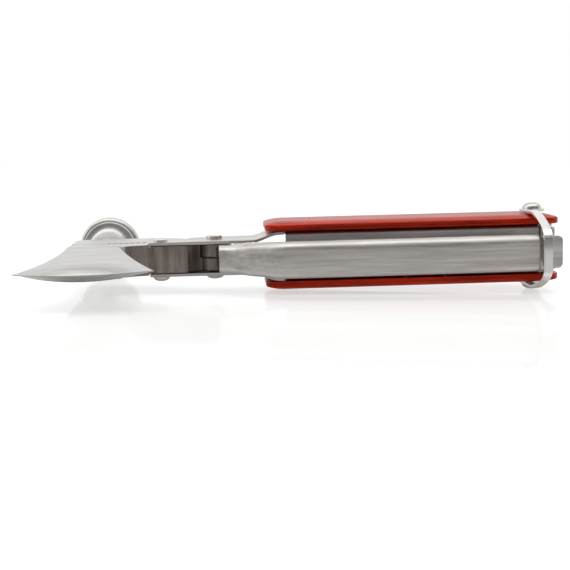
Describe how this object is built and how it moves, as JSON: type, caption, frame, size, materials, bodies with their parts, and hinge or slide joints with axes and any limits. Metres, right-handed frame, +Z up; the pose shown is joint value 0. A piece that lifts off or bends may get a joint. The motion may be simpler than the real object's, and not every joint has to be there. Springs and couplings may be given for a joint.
{
  "type": "folding axe and hammer multi-tool",
  "caption": "Folding multi-tool with an axe blade, hammer poll and pliers jaws, a clamped second arm, red wooden scales and tools that fold into the handle.",
  "frame": {"origin": "on the surface the tool lies on, under the middle of its plan", "axes": "+X runs along the handle to the tail, the axe is on the -Y side and the hammer on the +Y side, +Z is up along every rivet"},
  "size_m": [0.1716, 0.0896, 0.0292],
  "materials": {
    "forged_steel": "fine brushed satin",
    "brushed_steel": "brushed satin sheet",
    "polished_steel": "bright polished",
    "tool_steel": "ground satin",
    "spring_steel": "dull",
    "red_laminated_wood": "lacquered, satin gloss"
  },
  "bodies": {
    "main_half": {"axe_jaw": "forged_steel", "handle_channel": "brushed_steel", "jaw_rivet": "polished_steel", "pivot_rivet": "polished_steel", "top_scale": "red_laminated_wood", "bottom_scale": "red_laminated_wood", "front_rivet": "polished_steel", "tail_rivet": "polished_steel", "front_spring_pin": "polished_steel", "rear_spring_pin": "polished_steel", "tail_stop": "brushed_steel", "front_spacer_upper": "brushed_steel", "front_spacer_middle": "brushed_steel", "tail_spacer": "brushed_steel", "back_spring_1": "spring_steel", "back_spring_2": "spring_steel", "back_spring_3": "spring_steel", "back_spring_4": "spring_steel", "back_spring_5": "spring_steel"},
    "arm": {"hammer_jaw": "forged_steel", "arm_channel": "brushed_steel", "front_arm_rivet": "polished_steel", "rear_arm_rivet": "polished_steel"},
    "strap": {"locking_strap": "polished_steel"},
    "knife_blade_body": {"knife_blade": "tool_steel"},
    "bottle_opener_body": {"bottle_opener": "tool_steel"},
    "saw_blade_body": {"saw_blade": "tool_steel"},
    "can_opener_body": {"can_opener": "tool_steel"},
    "flat_screwdriver_body": {"flat_screwdriver": "tool_steel"},
    "cross_screwdriver_body": {"cross_screwdriver": "tool_steel"},
    "file_body": {"file": "tool_steel"}
  },
  "joints": [
    {"name": "arm_pivot", "type": "hinge", "parent": "main_half", "child": "arm", "pos_m": [-0.0272, 0.00275, 0.0146], "axis": [0, 0, -1], "range_deg": [0, 30]},
    {"name": "strap_pivot", "type": "hinge", "parent": "main_half", "child": "strap", "pos_m": [0.0793, 0.00675, 0.0146], "axis": [0, 0, 1], "range_deg": [-10, 180]},
    {"name": "knife_blade_pivot", "type": "hinge", "parent": "main_half", "child": "knife_blade_body", "pos_m": [0.0793, 0.00675, 0.0146], "axis": [0, 0, -1], "range_deg": [0, 180]},
    {"name": "bottle_opener_pivot", "type": "hinge", "parent": "main_half", "child": "bottle_opener_body", "pos_m": [0.0793, 0.00675, 0.0146], "axis": [0, 0, -1], "range_deg": [0, 180]},
    {"name": "saw_blade_pivot", "type": "hinge", "parent": "main_half", "child": "saw_blade_body", "pos_m": [0.0793, 0.00675, 0.0146], "axis": [0, 0, -1], "range_deg": [0, 180]},
    {"name": "can_opener_pivot", "type": "hinge", "parent": "main_half", "child": "can_opener_body", "pos_m": [0.0793, 0.00675, 0.0146], "axis": [0, 0, -1], "range_deg": [0, 180]},
    {"name": "flat_screwdriver_pivot", "type": "hinge", "parent": "main_half", "child": "flat_screwdriver_body", "pos_m": [0.0043, 0.00675, 0.0146], "axis": [0, 0, 1], "range_deg": [0, 150]},
    {"name": "cross_screwdriver_pivot", "type": "hinge", "parent": "main_half", "child": "cross_screwdriver_body", "pos_m": [0.0043, 0.00675, 0.0146], "axis": [0, 0, 1], "range_deg": [0, 150]},
    {"name": "file_pivot", "type": "hinge", "parent": "main_half", "child": "file_body", "pos_m": [0.0043, 0.00675, 0.0146], "axis": [0, 0, 1], "range_deg": [0, 105]}
  ]
}
